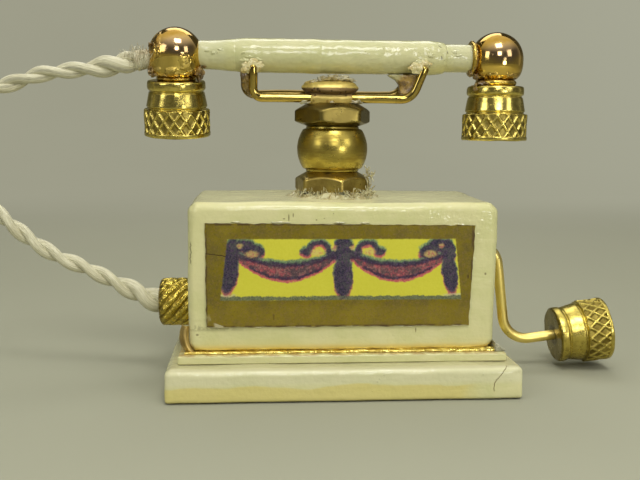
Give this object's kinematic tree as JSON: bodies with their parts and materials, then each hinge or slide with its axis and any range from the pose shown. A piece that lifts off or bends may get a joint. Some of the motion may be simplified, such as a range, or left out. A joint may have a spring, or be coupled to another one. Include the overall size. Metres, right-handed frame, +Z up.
{
  "type": "french-style cradle phone",
  "caption": "Dolls'-house cradle telephone: block body on a stepped plinth, nut-and-bead pedestal, bent-wire cradle, lift-off handset with knurled cups, side crank and twisted cord.",
  "frame": {"origin": "centre of the plinth's underside", "axes": "+Z up, +X towards the crank side, -Y towards the printed front"},
  "size_m": [0.0384, 0.0124, 0.0195],
  "materials": {
    "plinth_paint": "cream gloss enamel, brushed on wood",
    "step_paint": "cream gloss enamel on thin wood",
    "gilt_foil": "crumpled gilt foil",
    "body_paint": "cream gloss enamel, brushed on wood",
    "printed_paper": "glossy printed paper, yellow garland picture in an olive-gold border",
    "stud_steel": "plain wire",
    "gilt_nut": "gilt lacquer, worn",
    "bead_gold": "polished",
    "cradle_gold": "polished",
    "wire_gold": "polished wire",
    "grip_paint": "cream gloss enamel over a sleeve",
    "core_paint": "cream gloss enamel over a rod",
    "ball_gold": "polished, scratched",
    "ring_gold": "polished wire",
    "cup_brass": "turned and knurled, aged",
    "gland_gold": "fluted, polished",
    "cord_thread": "twisted ivory thread"
  },
  "bodies": {
    "base": {"plinth": "plinth_paint", "base_step": "step_paint", "foot_foil": "gilt_foil", "body_block": "body_paint", "front_print": "printed_paper", "pedestal_stud": "stud_steel", "pedestal_lower_nut": "gilt_nut", "pedestal_bead": "bead_gold", "pedestal_upper_nut": "gilt_nut", "cradle_collar": "cradle_gold", "cradle_cap": "cradle_gold", "cradle_front_wire": "wire_gold", "cradle_rear_wire": "wire_gold", "cord_gland": "gland_gold", "handset_cord": "cord_thread"},
    "handset": {"handset_grip": "grip_paint", "handset_core": "core_paint", "earpiece_ball_pin": "ball_gold", "earpiece_ring": "ring_gold", "earpiece_cup": "cup_brass", "mouthpiece_ball_pin": "ball_gold", "mouthpiece_ring": "ring_gold", "mouthpiece_cup": "cup_brass", "mouthpiece_neck_ring": "ring_gold", "cord_whipping": "cord_thread"},
    "crank": {"crank_wire": "wire_gold", "crank_knob": "cup_brass"}
  },
  "joints": [
    {"name": "handset_lift", "type": "slide", "parent": "base", "child": "handset", "axis": [0, 0, 1], "range_m": [0, 0.01]},
    {"name": "crank_turn", "type": "hinge", "parent": "base", "child": "crank", "pos_m": [0.00815, 0, 0.00735], "axis": [1, 0, 0], "continuous": true}
  ]
}
